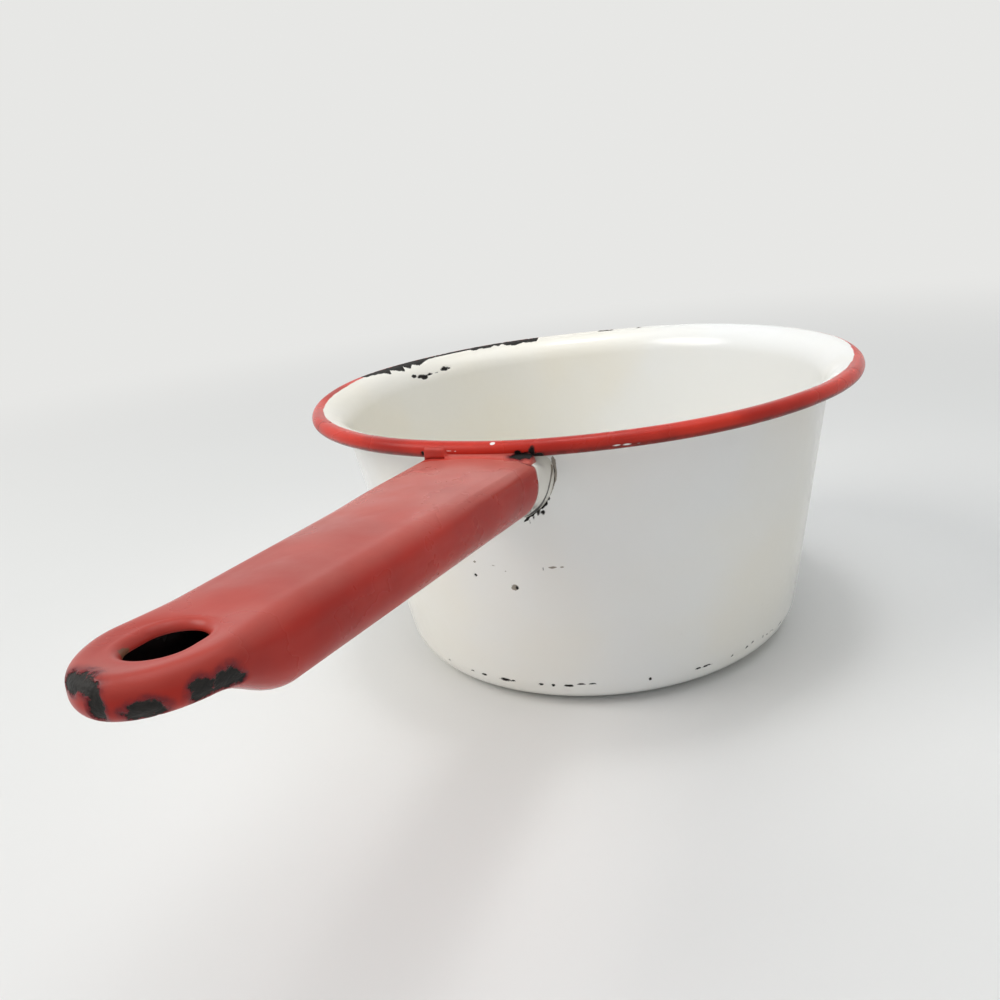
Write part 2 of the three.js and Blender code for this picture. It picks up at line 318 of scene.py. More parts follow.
# Finishes
class Finish:
    """One procedural material, with short calls for the nodes it is made of."""

    def __init__(self, name):
        self.material = bpy.data.materials.new(name)
        self.material.use_nodes = True
        self.tree = self.material.node_tree
        self.surface = self.tree.nodes["Principled BSDF"]
        self.place = self.tree.nodes.new("ShaderNodeTexCoord").outputs["Object"]

    def plug(self, source, socket):
        if isinstance(source, bpy.types.NodeSocket):
            self.tree.links.new(source, socket)
        else:
            socket.default_value = source

    def set(self, source, name):
        self.plug(source, self.surface.inputs[name])

    def field(self, name):
        made = self.tree.nodes.new("ShaderNodeAttribute")
        made.attribute_name = name
        return made.outputs["Fac"]

    def noise(self, scale, detail=2.0, roughness=0.5, stretch=(1, 1, 1)):
        where = self.tree.nodes.new("ShaderNodeMapping")
        where.inputs["Scale"].default_value = stretch
        self.plug(self.place, where.inputs["Vector"])
        made = self.tree.nodes.new("ShaderNodeTexNoise")
        self.plug(where.outputs["Vector"], made.inputs["Vector"])
        made.inputs["Scale"].default_value = scale
        made.inputs["Detail"].default_value = detail
        made.inputs["Roughness"].default_value = roughness
        return made.outputs["Fac"]

    def math(self, operation, first, second=0.0):
        made = self.tree.nodes.new("ShaderNodeMath")
        made.operation = operation
        self.plug(first, made.inputs[0])
        self.plug(second, made.inputs[1])
        return made.outputs[0]

    def ramp(self, value, low, high, to_low=0.0, to_high=1.0):
        made = self.tree.nodes.new("ShaderNodeMapRange")
        made.interpolation_type = "SMOOTHSTEP"
        for socket, given in zip(made.inputs, (value, low, high, to_low, to_high)):
            self.plug(given, socket)
        return made.outputs[0]

    def mix(self, share, first, second):
        made = self.tree.nodes.new("ShaderNodeMix")
        made.data_type = "RGBA"
        self.plug(share, made.inputs["Factor"])
        self.plug(first, made.inputs["A"])
        self.plug(second, made.inputs["B"])
        return made.outputs["Result"]

    def bump(self, height, strength, normal=None):
        made = self.tree.nodes.new("ShaderNodeBump")
        made.inputs["Distance"].default_value = BUMP_DISTANCE
        made.inputs["Strength"].default_value = strength
        self.plug(height, made.inputs["Height"])
        if normal:
            self.plug(normal, made.inputs["Normal"])
        return made.outputs["Normal"]


def ragged(finish, field, scale, spread):
    """A painted field whose edge, at 0.5, is broken up by noise; where the field is 0 nothing is added."""
    rough = finish.math("SUBTRACT", finish.noise(scale, 3.0, 0.6), 0.5)
    near = finish.ramp(field, 0.08, 0.38, 0.0, spread)
    return finish.math("ADD", field, finish.math("MULTIPLY", rough, near))


def crack_band(finish):
    """A shaky line along the crack field's zero, as wide as the crack_width field says."""
    shaky = finish.math("MULTIPLY", finish.math("SUBTRACT", finish.noise(520, 3.0, 0.65), 0.5), 1.1)
    away = finish.math("ABSOLUTE", finish.math("ADD", finish.field("crack"), shaky))
    width = finish.field("crack_width")
    band = finish.ramp(finish.math("SUBTRACT", away, width), -0.10, 0.12, 0.75, 0.0)
    return finish.math("MULTIPLY", band, finish.ramp(width, 0.02, 0.08))


def enamel(name, coat, fringe, fringe_start):
    """Fired glass over iron: coat gives colour, gloss and roughness, and the chip field bares the metal."""
    finish = Finish(name)
    chips = ragged(finish, finish.field("chip"), 900, 0.55)
    chips = finish.math("MAXIMUM", chips, crack_band(finish))
    bare = finish.ramp(chips, 0.48, 0.53)
    stain = finish.ramp(ragged(finish, finish.field("stain"), 700, 0.6), 0.42, 0.6)
    colour, gloss, roughness = coat(finish)
    sound = finish.mix(finish.math("MULTIPLY", stain, 0.8), colour, RUST)
    sound = finish.mix(finish.ramp(chips, fringe_start, 0.50, 0.0, 0.9), sound, fringe)
    metal = finish.mix(finish.ramp(finish.noise(380, 4.0, 0.6), 0.42, 0.68), IRON, RAW_IRON)
    broken = finish.mix(finish.ramp(chips, 0.52, 0.60), GROUND_COAT, metal)
    finish.set(finish.mix(bare, sound, broken), "Base Color")
    dull = finish.math("MULTIPLY", roughness, finish.ramp(finish.noise(60, 4.0), 0.3, 0.75, 0.75, 1.35))
    finish.set(finish.ramp(bare, 0.0, 1.0, dull, IRON_ROUGHNESS), "Roughness")
    varied = isinstance(gloss, bpy.types.NodeSocket)
    finish.set(finish.ramp(bare, 0.0, 1.0, gloss, IRON_GLOSS) if varied else gloss, "Specular IOR Level")
    wavy = finish.bump(finish.noise(260, 2.0), 0.10)
    grain = finish.math("MULTIPLY", finish.noise(1700, 3.0), finish.math("MULTIPLY", bare, 0.4))
    depth = finish.math("SUBTRACT", grain, finish.ramp(chips, 0.44, 0.56))
    finish.set(finish.bump(depth, 0.9, wavy), "Normal")
    return finish.material


def white_coat(finish):
    """White glass, turned a little yellow in drifting patches and made dull by cooking inside the base,
    with grey scuffs; painted shade makes it creamier on the inside wall that faces away from the key lamp,
    and creamier and greyer on the collar.
    """
    cream_share = finish.ramp(finish.noise(13, 3.0), 0.36, 0.7, 0.0, 0.7)
    # Painted shade, from the pieces' own field, adds to the cream
    cream_share = finish.math("ADD", cream_share, finish.field("shade_cream"))
    toned = finish.mix(cream_share, WHITE, CREAM)
    cooked = finish.ramp(finish.noise(45, 5.0, 0.65), 0.3, 0.7, 0.6, 0.85)
    # On the collar this grey is painted shade; inside the base it is cooking
    toned = finish.mix(finish.math("MULTIPLY", finish.field("cooked_and_shade"), cooked), toned, COOKED)
    scuff = finish.ramp(finish.noise(170, 5.0, 0.7), 0.70, 0.80, 0.0, 0.22)
    return finish.mix(scuff, toned, SCUFFED), WHITE_GLOSS, WHITE_ROUGHNESS


def red_coat(finish, fresh):
    """Red glass with uneven wear and faint lengthwise rubbing, and a pale painted sheen on its top, which
    also stands for the chalky look of handling.
    """
    deep = finish.mix(finish.ramp(finish.noise(38, 4.0), 0.38, 0.72), fresh, DEEP_RED)
    rubbed = finish.ramp(finish.noise(330, 4.0, 0.65, (0.12, 1, 1)), 0.62, 0.85, 0.0, 0.35)
    rubbed = finish.mix(rubbed, deep, RUBBED_RED)
    patchy = finish.ramp(finish.noise(70, 4.0, 0.6), 0.25, 0.75, 0.45, 0.7)
    # Painted sheen, with the wear of handling, where the pieces ask for it
    sheen = finish.math("MULTIPLY", finish.field("sheen_and_wear"), patchy)
    return finish.mix(sheen, rubbed, SHEEN_RED), RED_GLOSS, RED_ROUGHNESS


def bowl_coat(finish):
    """White, with the red band of the rim laid over it by hand, and painted shade under the bead."""
    wander = finish.math("SUBTRACT", finish.noise(160, 3.0), 0.5)
    line = finish.math("ADD", finish.field("red_inside"), finish.math("MULTIPLY", wander, 1.1))
    red = finish.ramp(line, -0.10, 0.10)
    # Painted shade: the bead's underside darkened in patches
    shaded = finish.ramp(finish.noise(300, 3.0), 0.3, 0.6, 0.45, 0.75)
    shaded = finish.math("MULTIPLY", finish.field("bead_shade"), shaded)
    # The rim's red here is painted lighter, as if lit from the front
    rim = finish.mix(shaded, red_coat(finish, LIT_RIM_RED)[0], UNDER_BEAD_SHADE)
    colour = finish.mix(red, white_coat(finish)[0], rim)
    gloss = finish.ramp(red, 0.0, 1.0, WHITE_GLOSS, RED_GLOSS)
    return colour, gloss, finish.ramp(red, 0.0, 1.0, WHITE_ROUGHNESS, RED_ROUGHNESS)


def rim_coat(finish):
    """The rim's red, painted lighter than the handle's red as if lit from the front, on the weld beside it.
    """
    return red_coat(finish, LIT_RIM_RED)


def handle_coat(finish):
    """Red outside; the dark ground coat alone inside the shell."""
    colour, gloss, roughness = red_coat(finish, RED)
    return finish.mix(finish.field("inside"), colour, SHELL_INSIDE), gloss, roughness


# Bowl. Places round it are degrees from the handle, positive towards +Y.
AROUND_BOWL = 720
OUTSIDE_STEPS = (8, 26, 90, 12)  # along the base, the corner, the side and the lip
INSIDE_STEPS = (8, 12, 26, 22)
BEAD_STEPS = 36
BEAD_INNER_STEPS = 6
# How far the red reaches over the crest, at the handle's side and at the far side
RED_PAST_CREST = (2.0, -0.4)
# Chips and stains round the bowl: azimuth, height, half length and half height
BASE_CHIPS = (
    (-29.2, 8.7, 0.9, 0.3), (-20.0, 8.5, 0.7, 0.25), (-15.7, 8.3, 1.0, 0.4), (-8.8, 8.3, 1.7, 0.6),
    (-6.5, 8.4, 0.5, 0.3), (1.2, 8.3, 0.6, 0.35), (4.6, 8.3, 0.5, 0.45), (8.7, 8.3, 1.2, 0.5),
    (12.0, 8.9, 1.2, 0.2), (14.7, 8.9, 0.9, 0.2), (29.2, 8.7, 0.45, 0.4), (42.3, 8.2, 1.0, 0.3),
    (45.0, 8.4, 1.5, 0.2), (53.0, 8.3, 0.5, 0.25), (58.2, 9.1, 0.5, 0.4), (60.5, 9.7, 0.5, 0.4),
    (65.0, 9.3, 0.6, 0.4), (67.2, 9.2, 0.7, 0.3), (69.8, 9.0, 0.6, 0.4),
)
WALL_CHIPS = ((-9.9, 46.1, 0.5, 0.5), (0.1, 43.0, 0.4, 0.6), (6.8, 49.6, 0.35, 0.35))
WALL_STAINS = (
    (-4.9, 50.3, 1.5, 0.3), (-0.4, 43.1, 1.2, 1.0), (9.0, 50.0, 1.2, 0.3), (11.0, 50.2, 0.8, 0.3),
    (-1.9, 48.2, 0.5, 0.3), (-9.3, 50.8, 0.5, 0.3),
)
LIP_CHIPS = (
    (-107.4, 86.4, 1.2, 0.5), (-109.0, 85.8, 1.6, 0.55), (-110.6, 85.3, 1.5, 0.8),
    (-113.0, 85.7, 1.4, 0.35), (-115.4, 85.8, 1.6, 0.2), (-118.6, 86.3, 1.6, 0.7), (-120.4, 86.1, 0.6, 0.3),
)
# Small chips along the base's edge on the sides that face away from the handle
EDGE_CHIP_COUNT = 34
EDGE_CHIP_SIDES = (75, 318)
EDGE_CHIP_LEVEL = 8.7
EDGE_CHIP_SCATTER = 0.3
# Chips on the bead's crest: azimuth, half length and half width
CREST_CHIPS = ((-169.5, 2.2, 0.8), (-171.3, 1.0, 0.5), (-179, 1.2, 0.4))
CREST_CHIP_PLACE = 0.6
# The lost rim: azimuth, and how far from the bead's crest the enamel is gone towards the inside
RIM_LOSS_START = -0.6
RIM_LOSS_EDGE = 0.8
RIM_LOSS = (
    (-92, 0.2), (-93, 1.6), (-95.3, 2.1), (-97.7, 3.0), (-99, 3.4), (-100.6, 5.2), (-102, 2.6),
    (-104, 4.6), (-105.7, 6.0), (-107, 2.8), (-108.2, 5.6), (-110, 3.0), (-112, 4.8), (-114, 3.5),
    (-116.8, 2.1), (-119.8, 1.7), (-125, 1.9), (-130, 1.8), (-131.5, 3.3), (-133.8, 2.6), (-136.3, 3.3),
    (-137.5, 2.0), (-139, 3.0), (-140, 1.8), (-141.3, 3.6), (-143.2, 4.6), (-144.6, 4.0), (-146, 3.2),
    (-148.5, 3.9), (-150, 3.6), (-151, 0.1),
)
# Nicks in the red that show the white; the three at 23 to 27 degrees are painted glints on the bead:
# azimuth, angle round the bead, half length and half width
RED_NICKS_AND_GLINTS = (
    (-4.3, 10, 0.9, 0.22), (-3.2, 8, 0.5, 0.2), (3.3, 62, 0.6, 0.5), (23.3, -22, 0.6, 0.14),
    (25.1, -25, 0.8, 0.14), (26.9, -29, 0.5, 0.14),
)
# Chips on the bead and the weld beside the handle, the last one a spot of painted shade in the pocket under
# the bead left of the tab: across, height, half width and half height
LOBE_CHIPS_AND_SHADE = (
    (13.6, 87.5, 3.2, 0.6), (15.6, 88.5, 0.7, 1.1), (12.1, 88.3, 0.9, 0.5), (16.9, 87.3, 1.2, 0.5),
    # Painted shade: the last spot darkens the pocket under the bead, left of the tab
    (-15.3, 88.0, 0.4, 0.6),
)
# The crack where the collar meets the wall: across and height on the wall, x and height on the collar
FOOT_CRACK = (
    (17.0, 83.4), (16.9, 79.6), (16.4, 77.1), (14.7, 73.4), (13.6, 71.8), (10.7, 68.5), (8.2, 66.6),
    (6.4, 64.8),
)
FOOT_CRACK_WIDTHS = (0.0, 0.1, 0.16, 0.26, 0.42, 0.54, 0.48, 0.3)
FOOT_SMEAR = FOOT_CRACK[:5]
FOOT_SMEAR_WIDTHS = (0.5, 0.6, 0.6, 0.5, 0.3)
FOOT_CHIPS = (
    (14.0, 71.7, 0.4, 0.6), (13.0, 70.4, 0.5, 0.7), (11.9, 69.2, 0.6, 0.6), (10.6, 68.0, 0.6, 0.5),
    (10.4, 67.1, 0.45, 0.35), (11.8, 67.3, 0.55, 0.5), (8.9, 65.8, 0.3, 0.5), (7.8, 64.7, 0.3, 0.4),
)
COLLAR_CRACK = ((79.6, 81.0), (82.1, 77.4), (81.7, 73.4), (80.4, 70.0), (78.1, 67.2))
COLLAR_CRACK_WIDTHS = (0.0, 0.35, 0.8, 1.2, 1.1)
COLLAR_SMEAR_WIDTHS = (0.9, 0.9, 0.8, 0.4, 0.2)
RIM_CRACKS = (-45, 82)
RIM_CRACK_WIDTH = 0.12
CRACK_REACH = 4.0
CRACK_FADE = (1.5, 3.0)
# The rim is a little out of true: its long and short waves outwards and up; by the handle it is held still
SWAY_OUT = (0.30, 0.12)
SWAY_UP = (0.25, 0.10)
STILL_BY_HANDLE = 24


def wrapped(degrees):
    return (degrees + 180) % 360 - 180


def beside_path(across, up, path, widths):
    """For each stretch of a path: points' distance to it, their side, their place along it, its width."""
    for (y0, z0), (y1, z1), width0, width1 in zip(path, path[1:], widths, widths[1:]):
        length = (y1 - y0) ** 2 + (z1 - z0) ** 2
        along = ((across - y0) * (y1 - y0) + (up - z0) * (z1 - z0)) / length
        share = np.clip(along, 0, 1)
        away = np.hypot(across - lerp(y0, y1, share), up - lerp(z0, z1, share))
        side = np.sign((across - y0) * (z1 - z0) - (up - z0) * (y1 - y0))
        yield away, side, along, lerp(width0, width1, share)


def path_field(across, up, path, widths):
    """A paint field along a line of points, with its own half width at each point."""
    stretches = beside_path(across, up, path, widths)
    return np.max([spot(away / width) for away, _, _, width in stretches], axis=0)


def crack_fields(across, up, path, widths):
    """The signed distance to a crack, and its half width beside it, which is nothing past its ends."""
    shape = np.broadcast(across, up).shape
    near, near_side, near_width = np.full(shape, CRACK_REACH), np.ones(shape), np.zeros(shape)
    last = len(path) - 2
    for stretch, (away, side, along, width) in enumerate(beside_path(across, up, path, widths)):
        past_end = (stretch == 0) & (along < 0) | (stretch == last) & (along > 1)
        beside = np.where(past_end, 0, width * (1 - smoothstep(away, *CRACK_FADE)))
        closer = away < near
        near_side = np.where(closer, side, near_side)
        near_width = np.where(closer, beside, near_width)
        near = np.where(closer, away, near)
    return near * near_side, near_width


def bowl_angles():
    """Places round the bowl, closer together where it is chipped: by the handle and along the lost rim."""
    degrees = np.linspace(-180, 180, 3601)
    by_handle = 1 - smoothstep(np.abs(degrees), 40, 75)
    by_loss = smoothstep(degrees, -158, -150) * (1 - smoothstep(degrees, -94, -86))
    count = np.concatenate([[0], np.cumsum(1 + 2.5 * by_handle + 2.0 * by_loss)[:-1]])
    return np.radians(np.interp(np.linspace(0, count[-1], AROUND_BOWL + 1)[:-1], count, degrees))


def round_field(azimuth, radius, height, chips):
    """A paint field of spots given by their azimuth, height and half sizes on the bowl's wall."""
    best = np.zeros(azimuth.shape)
    for place, level, length, tall in chips:
        along = np.radians(wrapped(azimuth - place)) * radius
        best = np.maximum(best, spot(np.hypot(along / length, (height - level) / tall)))
    return best


def flat_field(across, up, chips):
    """A paint field of spots given by their place across the handle, their height and half sizes."""
    fields = [spot(np.hypot((across - y) / wide, (up - z) / tall)) for y, z, wide, tall in chips]
    return np.max(fields, axis=0)


def edge_wear(seed):
    """Small chips spread along the base's edge on the sides that face away from the handle."""
    draw = np.random.default_rng(seed)
    chips = []
    for _ in range(EDGE_CHIP_COUNT):
        place = draw.uniform(*EDGE_CHIP_SIDES)
        level = draw.normal(EDGE_CHIP_LEVEL, EDGE_CHIP_SCATTER)
        length = draw.uniform(0.3, 1.2)
        tall = draw.uniform(0.2, 0.45)
        chips.append((place, level, length, tall))
    return tuple(chips)


def on_circle(radius, angle, height):
    return np.stack([radius * np.cos(angle), radius * np.sin(angle), height], axis=-1)


class BowlPlaces:
    """Where the points of the bowl's mesh lie: rows run along its section, columns round its axis."""

    def __init__(self):
        outside = [wall_line(SHEET / 2, *OUTSIDE_STEPS), curl_line(SHEET / 2, BEAD_INNER_STEPS)]
        outside = np.concatenate(outside)
        bead = curl_line(-SHEET / 2, BEAD_STEPS)[::-1]
        inside = wall_line(-SHEET / 2, *INSIDE_STEPS)[::-1]
        section = np.concatenate([outside, bead, inside])
        self.rows = len(section)
        self.angle = bowl_angles()
        self.azimuth = np.degrees(self.angle)[None, :] + np.zeros((self.rows, 1))
        self.radius = section[:, 0][:, None] + np.zeros((1, AROUND_BOWL))
        self.height = section[:, 1][:, None] + np.zeros((1, AROUND_BOWL))
        self.points = on_circle(self.radius, self.angle, self.height)
        self.across = self.points[..., 1]

        outwards = self.radius - bead_centre[0]
        upwards = self.height - bead_centre[1]
        self.bead_angle = np.degrees(np.arctan2(upwards, outwards))
        run = np.concatenate([[0], np.cumsum(np.linalg.norm(np.diff(section, axis=0), axis=1))])
        on_bead = slice(len(outside), len(outside) + len(bead))
        self.past_crest = run[:, None] - np.interp(90, self.bead_angle[on_bead, 0], run[on_bead])
        self.past_curl = run[:, None] - run[len(outside)]

        self.is_outside = (np.arange(self.rows) < len(outside))[:, None]
        self.facing = self.points[..., 0] > 0
        self.near_bead = np.hypot(outwards, upwards) < BEAD_RADIUS + 0.5
        self.on_curl = self.near_bead & ~self.is_outside
        self.by_foot = self.is_outside & self.facing & (self.height < PAN_HEIGHT - ROOT_BELOW_RIM)


def bowl_red(bowl):
    """How far a point lies inside the red band of the rim, in millimetres, with the nicks and painted
    glints left out.
    """
    reach = lerp(*RED_PAST_CREST, smoothstep(np.abs(bowl.azimuth), 80, 115))
    red = np.minimum(bowl.past_curl + 1.0, reach - bowl.past_crest)
    for place, level, length, wide in RED_NICKS_AND_GLINTS:
        along = np.radians(wrapped(bowl.azimuth - place)) * RIM_RADIUS / length
        over = np.radians(bowl.bead_angle - level) * BEAD_RADIUS / wide
        mark = (np.hypot(along, over) - 1) * wide
        red = np.where(bowl.on_curl, np.minimum(red, mark), red)
    return red


def bowl_chips(bowl):
    """Where the enamel is gone: along the base, on the wall, by the collar, and round the lip and rim."""
    wall_chips = BASE_CHIPS + WALL_CHIPS + edge_wear(5)
    chip = round_field(bowl.azimuth, bowl.radius, bowl.height, wall_chips) * bowl.is_outside
    chip = np.maximum(chip, flat_field(bowl.across, bowl.height, FOOT_CHIPS) * bowl.by_foot)
    lip = round_field(bowl.azimuth, bowl.radius, bowl.height, LIP_CHIPS)
    chip = np.maximum(chip, lip * ~bowl.is_outside)
    places, reaches = zip(*RIM_LOSS[::-1])
    lost_to = np.interp(bowl.azimuth, places, reaches, 0, 0)
    within = np.minimum(bowl.past_crest - RIM_LOSS_START, lost_to - bowl.past_crest)
    rim_loss = 0.5 + 0.5 * np.clip(within / RIM_LOSS_EDGE, -1, 1)
    chip = np.maximum(chip, np.where(lost_to > 0.05, rim_loss, 0))
    for place, length, wide in CREST_CHIPS:
        along = np.radians(wrapped(bowl.azimuth - place)) * bead_centre[0] / length
        chip = np.maximum(chip, spot(np.hypot(along, (bowl.past_crest - CREST_CHIP_PLACE) / wide)))
    lobes = flat_field(bowl.across, bowl.height, LOBE_CHIPS_AND_SHADE)
    chip = np.maximum(chip, lobes * (bowl.on_curl & bowl.facing))
    return frayed(chip, bowl.points, wavelength=2.6, amount=0.16, seed=3)


def bowl_stains(bowl):
    stain = round_field(bowl.azimuth, bowl.radius, bowl.height, WALL_STAINS) * bowl.is_outside
    smear = path_field(bowl.across, bowl.height, FOOT_SMEAR, FOOT_SMEAR_WIDTHS)
    return np.maximum(stain, smear * bowl.by_foot)


def bowl_cracks(bowl):
    """The crack by the collar and the fine ones across the rim: signed distance and half width."""
    crack, width = crack_fields(bowl.across, bowl.height, FOOT_CRACK, FOOT_CRACK_WIDTHS)
    width = width * (bowl.is_outside & bowl.facing)
    for place in RIM_CRACKS:
        away = np.radians(bowl.azimuth - place) * RIM_RADIUS
        beside = bowl.on_curl & (np.abs(away) < CRACK_REACH)
        crack = np.where(beside, away, crack)
        width = np.where(beside, RIM_CRACK_WIDTH * (np.abs(away) < CRACK_REACH / 2), width)
    return crack, width


def swayed_points(bowl):
    angle = bowl.angle
    away_from_handle = 1 - np.exp(-(bowl.azimuth / STILL_BY_HANDLE) ** 2)
    sway = smoothstep(bowl.height, 0.4 * PAN_HEIGHT, PAN_HEIGHT) * away_from_handle
    outwards = SWAY_OUT[0] * np.cos(2 * angle + 0.6) + SWAY_OUT[1] * np.sin(5 * angle + 1.0)
    upwards = SWAY_UP[0] * np.sin(3 * angle + 0.4) + SWAY_UP[1] * np.sin(7 * angle)
    return on_circle(bowl.radius + sway * outwards, angle, bowl.height + sway * upwards)


def make_bowl(material):
    bowl = BowlPlaces()
    crack, crack_width = bowl_cracks(bowl)
    fields = {
        "red_inside": bowl_red(bowl),
        "crack": crack,
        "crack_width": crack_width,
        "chip": bowl_chips(bowl),
        "stain": bowl_stains(bowl),
        # Painted shade: the inside wall on the -Y side, which faces away from the key lamp, is made
        # creamier
        "shade_cream": 0.7 * smoothstep(-bowl.across, -5, 65) * ~bowl.is_outside,
        "cooked_and_shade": (1 - smoothstep(bowl.height, SHEET + 1, CORNER_RADIUS)) * ~bowl.is_outside,
        # Painted shade on the bead's underside
        "bead_shade": smoothstep(-bowl.bead_angle, 2, 30) * bowl.near_bead,
    }
    fields = {name: values.ravel() for name, values in fields.items()}
    faces = capped_faces(bowl.rows, AROUND_BOWL)
    points = swayed_points(bowl).reshape(-1, 3)
    return new_piece("bowl", points, faces, "pan_body", material, fields)


# The handle's own frame: x along it from the shell's open end, z = 0 at its shoulders
handle_origin = np.array([RIM_RADIUS + ROOT_STANDOFF, 0.0, PAN_HEIGHT - ROOT_BELOW_RIM])
heel = HANDLE_LENGTH - HEEL_FROM_TIP
nose_start = HANDLE_LENGTH - NOSE_LENGTH
hole_middle = HANDLE_LENGTH - HOLE_FROM_TIP
hole_rim = hole_middle - HOLE_LENGTH / 2 - HOLE_LIP_RADIUS
OUTLINE_STEPS = (124, 100)  # along each side and round the nose
# Chips and stains on the handle: their middle along, across and up, and their half sizes
HANDLE_CHIPS = (
    (125.8, -3.8, -1.2, 2.4, 4.4, 1.3), (126.8, 1.1, -3.9, 1.5, 1.3, 3.0),
    (126.5, -0.3, -1.3, 1.7, 1.9, 1.3), (124.3, 6.6, -5.5, 2.7, 2.6, 1.9),
    (118.0, 10.9, -4.9, 1.8, 1.5, 2.0), (113.9, 12.1, -5.0, 2.3, 1.5, 2.1),
    (111.1, 12.5, -6.0, 0.9, 1.0, 0.9), (0.2, 15.2, -0.6, 0.9, 1.8, 0.7),
)
HANDLE_STAINS = ((115.4, -4.9, -1.9, 1.8, 1.0, 1.0),)


def from_handle(points):
    points = np.asarray(points, dtype=float)
    along = points[..., 0] * math.cos(HANDLE_RISE) - points[..., 2] * math.sin(HANDLE_RISE)
    up = points[..., 0] * math.sin(HANDLE_RISE) + points[..., 2] * math.cos(HANDLE_RISE)
    return np.stack([along, points[..., 1], up], axis=-1) + handle_origin


def handle_half_width(x):
    return lerp(ROOT_WIDTH, NOSE_WIDTH, x / nose_start) / 2


def handle_depth(x):
    grip = lerp(ROOT_DEPTH, GRIP_DEPTH, np.clip(x / heel, 0, 1))
    return lerp(grip, NOSE_DEPTH, smoothstep(x, heel, heel + STEP_LENGTH))


def shoulder_radius(x):
    return SHOULDER_RADIUS * handle_depth(x) / GRIP_DEPTH


def belly_radius(x):
    grip = lerp(ROOT_BELLY_RADIUS, BELLY_RADIUS, np.clip(x / heel, 0, 1))
    return grip * np.minimum(1, handle_depth(x) / GRIP_DEPTH)


def crown_height(x):
    return lerp(CROWN, -NOSE_DISH, smoothstep(x, hole_rim - DISH_RUN, hole_rim))


def shoulder_curve(share, crease):
    """The shoulder from the top (share 0) to the side (share 1), as (inwards, down) in shoulder radii."""
    turn = share * math.pi / 2
    inwards = lerp(1 - math.sin(turn), np.interp(share, CREASE_SHARES, CREASE_INWARDS), crease)
    down = lerp(1 - math.cos(turn), np.interp(share, CREASE_SHARES, CREASE_DOWN), crease)
    return inwards, down


def handle_outline(side_steps, nose_steps):
    """The shell from above: out along +Y, round the nose and back, with the way out at each point."""
    x = np.linspace(0, nose_start, side_steps, endpoint=False)
    side = np.stack([x, handle_half_width(x)], axis=1)
    side_out = np.tile([0.0, 1.0], (side_steps, 1))
    turn = np.linspace(0, math.pi, nose_steps + 1)
    nose = np.stack([nose_start + NOSE_LENGTH * np.sin(turn), NOSE_WIDTH / 2 * np.cos(turn)], axis=1)
    nose_out = np.stack([np.sin(turn) / NOSE_LENGTH, 2 * np.cos(turn) / NOSE_WIDTH], axis=1)
    nose_out /= np.linalg.norm(nose_out, axis=1)[:, None]
    mirror = np.array([1.0, -1.0])
    line = np.concatenate([side, nose, side[::-1] * mirror])
    out = np.concatenate([side_out, nose_out, side_out[::-1] * mirror])
    return line, out


def hole_point(share, grow):
    """A point of the hanging hole's outline: share 0 at its near end, 0.5 at its far end, by way of +Y."""
    radius = HOLE_WIDTH / 2 + grow
    half_straight = (HOLE_LENGTH - HOLE_WIDTH) / 2
    quarter = radius * math.pi / 2
    whole = 2 * quarter + 2 * half_straight
    side = 1.0 if share <= 0.5 else -1.0
    way = whole * (2 * share if share <= 0.5 else 2 - 2 * share)
    if way < quarter:
        turn = way / radius
        return hole_middle - half_straight - radius * math.cos(turn), side * radius * math.sin(turn)
    if way < quarter + 2 * half_straight:
        return hole_middle - half_straight + way - quarter, side * radius
    turn = (way - quarter - 2 * half_straight) / radius
    return hole_middle + half_straight + radius * math.sin(turn), side * radius * math.cos(turn)


def hole_shares(line):
    """The outline points beside the hole, and each one's place round it."""
    beside = np.flatnonzero(line[:, 0] >= hole_rim)
    first, last = beside[0], beside[-1]
    run = np.concatenate([[0], np.cumsum(np.linalg.norm(np.diff(line[first:last + 1], axis=0), axis=1))])
    return first, last, run / run[-1]


def inner_loop(line, grow, half_slit):
    """For each outline point, the point of the hole or of the centre line that its strip runs in to."""
    first, last, shares = hole_shares(line)
    loop = np.stack([line[:, 0], np.sign(line[:, 1]) * half_slit], axis=1)
    loop[first:last + 1] = [hole_point(share, grow) for share in shares]
    return loop


